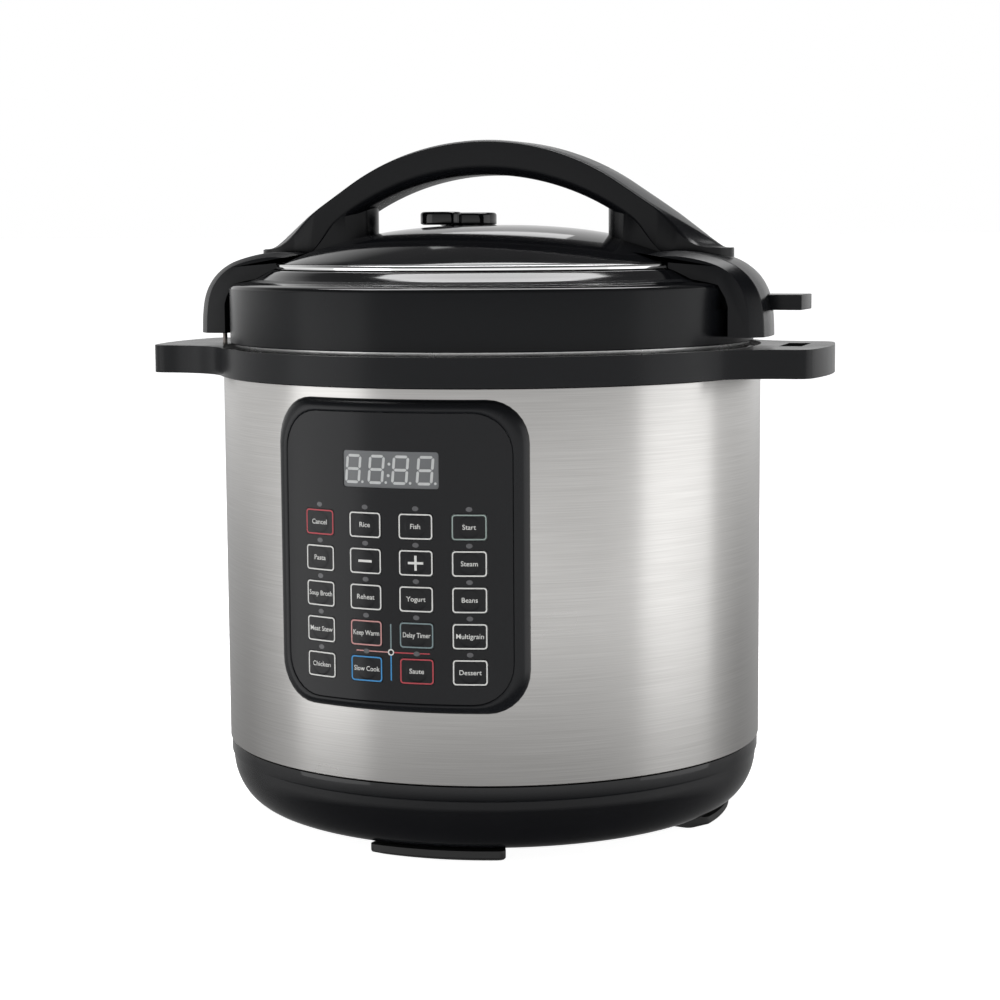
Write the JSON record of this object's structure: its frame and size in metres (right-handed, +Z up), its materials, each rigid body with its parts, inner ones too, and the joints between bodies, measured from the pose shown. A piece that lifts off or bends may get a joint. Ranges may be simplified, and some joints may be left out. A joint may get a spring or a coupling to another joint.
{
  "type": "electric pressure cooker",
  "caption": "Round electric pressure cooker: steel body on a black base, curved key panel, carrying-handle ring and a domed twist-lock lid with an arched handle.",
  "frame": {"origin": "on the pot's axis at the height of the worktop that the feet stand on", "axes": "+Z up along the pot's axis, -Y out of the middle of the key panel, +X to the right seen from the front, towards the parking tab"},
  "size_m": [0.3412, 0.2813, 0.3368],
  "materials": {
    "brushed_steel": "horizontally brushed stainless steel",
    "bright_steel": "satin stainless steel",
    "chrome": "bright plated",
    "aluminium": "cast and turned, matt",
    "satin_black": "fine satin moulding",
    "gloss_black": "high gloss moulding",
    "panel_film": "smooth black printed film",
    "display": "grey smoked window",
    "rubber": "matt",
    "silicone": "translucent white silicone",
    "smoke_plastic": "smoked plastic",
    "circuit_board": "solder resist"
  },
  "bodies": {
    "base": {"outer_shell": "brushed_steel", "base_housing": "gloss_black", "foot_front": "rubber", "foot_right": "rubber", "foot_rear": "rubber", "foot_left": "rubber", "top_ring": "satin_black", "outer_pot": "aluminium", "heating_plate": "aluminium", "heating_element": "bright_steel", "heat_shield": "bright_steel", "pressure_switch": "satin_black", "thermal_fuse": "satin_black", "sensor_bracket": "bright_steel", "sensor_spring": "bright_steel", "power_board": "circuit_board", "control_board": "circuit_board", "power_inlet": "satin_black", "panel_bezel": "satin_black", "panel_film": "panel_film", "display_module": "display"},
    "sensor": {"sensor_cap": "bright_steel"},
    "cup": {"condensation_cup": "smoke_plastic"},
    "sense_pin": {"lid_sense_pin": "bright_steel"},
    "pot": {"inner_pot": "bright_steel"},
    "seal": {"sealing_ring": "silicone"},
    "lid": {"inner_lid": "bright_steel", "lid_ring": "satin_black", "lid_trim": "chrome", "lid_cover": "gloss_black", "lid_handle": "satin_black", "handle_strip": "gloss_black", "lid_fin": "satin_black", "steam_pipe": "bright_steel", "anti_block_shield": "bright_steel", "sealing_ring_rack": "bright_steel"},
    "valve_knob": {"steam_valve_knob": "satin_black"},
    "float": {"float_pin": "bright_steel", "float_seal": "silicone"},
    "key_cancel": {"key_cancel": "panel_film"},
    "key_rice": {"key_rice": "panel_film"},
    "key_fish": {"key_fish": "panel_film"},
    "key_start": {"key_start": "panel_film"},
    "key_pasta": {"key_pasta": "panel_film"},
    "key_minus": {"key_minus": "panel_film"},
    "key_plus": {"key_plus": "panel_film"},
    "key_steam": {"key_steam": "panel_film"},
    "key_soup": {"key_soup": "panel_film"},
    "key_reheat": {"key_reheat": "panel_film"},
    "key_yogurt": {"key_yogurt": "panel_film"},
    "key_beans": {"key_beans": "panel_film"},
    "key_stew": {"key_stew": "panel_film"},
    "key_keep_warm": {"key_keep_warm": "panel_film"},
    "key_timer": {"key_timer": "panel_film"},
    "key_multigrain": {"key_multigrain": "panel_film"},
    "key_chicken": {"key_chicken": "panel_film"},
    "key_slow_cook": {"key_slow_cook": "panel_film"},
    "key_saute": {"key_saute": "panel_film"},
    "key_dessert": {"key_dessert": "panel_film"}
  },
  "joints": [
    {"name": "pot_lift", "type": "slide", "parent": "base", "child": "pot", "axis": [0, 0, 1], "range_m": [0, 0.19]},
    {"name": "lid_lift", "type": "slide", "parent": "pot", "child": "seal", "axis": [0, 0, 1], "range_m": [0, 0.12]},
    {"name": "lid_turn", "type": "hinge", "parent": "seal", "child": "lid", "pos_m": [0, 0, 0.2378], "axis": [0, 0, 1], "range_deg": [0, 30]},
    {"name": "valve_turn", "type": "hinge", "parent": "lid", "child": "valve_knob", "pos_m": [-0.023, 0.028, 0.298], "axis": [0, 0, 1], "range_deg": [0, 45]},
    {"name": "float_rise", "type": "slide", "parent": "lid", "child": "float", "axis": [0, 0, 1], "range_m": [0, 0.0022]},
    {"name": "sensor_press", "type": "slide", "parent": "base", "child": "sensor", "axis": [0, 0, -1], "range_m": [0, 0.002], "stiffness_N_per_m": 800, "deforming": ["sensor_spring"]},
    {"name": "cup_slide", "type": "slide", "parent": "base", "child": "cup", "axis": [0, 1, 0], "range_m": [0, 0.04]},
    {"name": "sense_pin_press", "type": "slide", "parent": "base", "child": "sense_pin", "axis": [0, 0, -1], "range_m": [0, 0.003], "stiffness_N_per_m": 150},
    {"name": "press_cancel", "type": "slide", "parent": "base", "child": "key_cancel", "axis": [0.2639, 0.9646, 0], "range_m": [0, 0.0005], "stiffness_N_per_m": 400},
    {"name": "press_rice", "type": "slide", "parent": "base", "child": "key_rice", "axis": [0.0889, 0.996, 0], "range_m": [0, 0.0005], "stiffness_N_per_m": 400},
    {"name": "press_fish", "type": "slide", "parent": "base", "child": "key_fish", "axis": [-0.0889, 0.996, 0], "range_m": [0, 0.0005], "stiffness_N_per_m": 400},
    {"name": "press_start", "type": "slide", "parent": "base", "child": "key_start", "axis": [-0.2639, 0.9646, 0], "range_m": [0, 0.0005], "stiffness_N_per_m": 400},
    {"name": "press_pasta", "type": "slide", "parent": "base", "child": "key_pasta", "axis": [0.2639, 0.9646, 0], "range_m": [0, 0.0005], "stiffness_N_per_m": 400},
    {"name": "press_minus", "type": "slide", "parent": "base", "child": "key_minus", "axis": [0.0889, 0.996, 0], "range_m": [0, 0.0005], "stiffness_N_per_m": 400},
    {"name": "press_plus", "type": "slide", "parent": "base", "child": "key_plus", "axis": [-0.0889, 0.996, 0], "range_m": [0, 0.0005], "stiffness_N_per_m": 400},
    {"name": "press_steam", "type": "slide", "parent": "base", "child": "key_steam", "axis": [-0.2639, 0.9646, 0], "range_m": [0, 0.0005], "stiffness_N_per_m": 400},
    {"name": "press_soup", "type": "slide", "parent": "base", "child": "key_soup", "axis": [0.2639, 0.9646, 0], "range_m": [0, 0.0005], "stiffness_N_per_m": 400},
    {"name": "press_reheat", "type": "slide", "parent": "base", "child": "key_reheat", "axis": [0.0889, 0.996, 0], "range_m": [0, 0.0005], "stiffness_N_per_m": 400},
    {"name": "press_yogurt", "type": "slide", "parent": "base", "child": "key_yogurt", "axis": [-0.0889, 0.996, 0], "range_m": [0, 0.0005], "stiffness_N_per_m": 400},
    {"name": "press_beans", "type": "slide", "parent": "base", "child": "key_beans", "axis": [-0.2639, 0.9646, 0], "range_m": [0, 0.0005], "stiffness_N_per_m": 400},
    {"name": "press_stew", "type": "slide", "parent": "base", "child": "key_stew", "axis": [0.2639, 0.9646, 0], "range_m": [0, 0.0005], "stiffness_N_per_m": 400},
    {"name": "press_keep_warm", "type": "slide", "parent": "base", "child": "key_keep_warm", "axis": [0.0889, 0.996, 0], "range_m": [0, 0.0005], "stiffness_N_per_m": 400},
    {"name": "press_timer", "type": "slide", "parent": "base", "child": "key_timer", "axis": [-0.0889, 0.996, 0], "range_m": [0, 0.0005], "stiffness_N_per_m": 400},
    {"name": "press_multigrain", "type": "slide", "parent": "base", "child": "key_multigrain", "axis": [-0.2639, 0.9646, 0], "range_m": [0, 0.0005], "stiffness_N_per_m": 400},
    {"name": "press_chicken", "type": "slide", "parent": "base", "child": "key_chicken", "axis": [0.2639, 0.9646, 0], "range_m": [0, 0.0005], "stiffness_N_per_m": 400},
    {"name": "press_slow_cook", "type": "slide", "parent": "base", "child": "key_slow_cook", "axis": [0.0889, 0.996, 0], "range_m": [0, 0.0005], "stiffness_N_per_m": 400},
    {"name": "press_saute", "type": "slide", "parent": "base", "child": "key_saute", "axis": [-0.0889, 0.996, 0], "range_m": [0, 0.0005], "stiffness_N_per_m": 400},
    {"name": "press_dessert", "type": "slide", "parent": "base", "child": "key_dessert", "axis": [-0.2639, 0.9646, 0], "range_m": [0, 0.0005], "stiffness_N_per_m": 400}
  ]
}
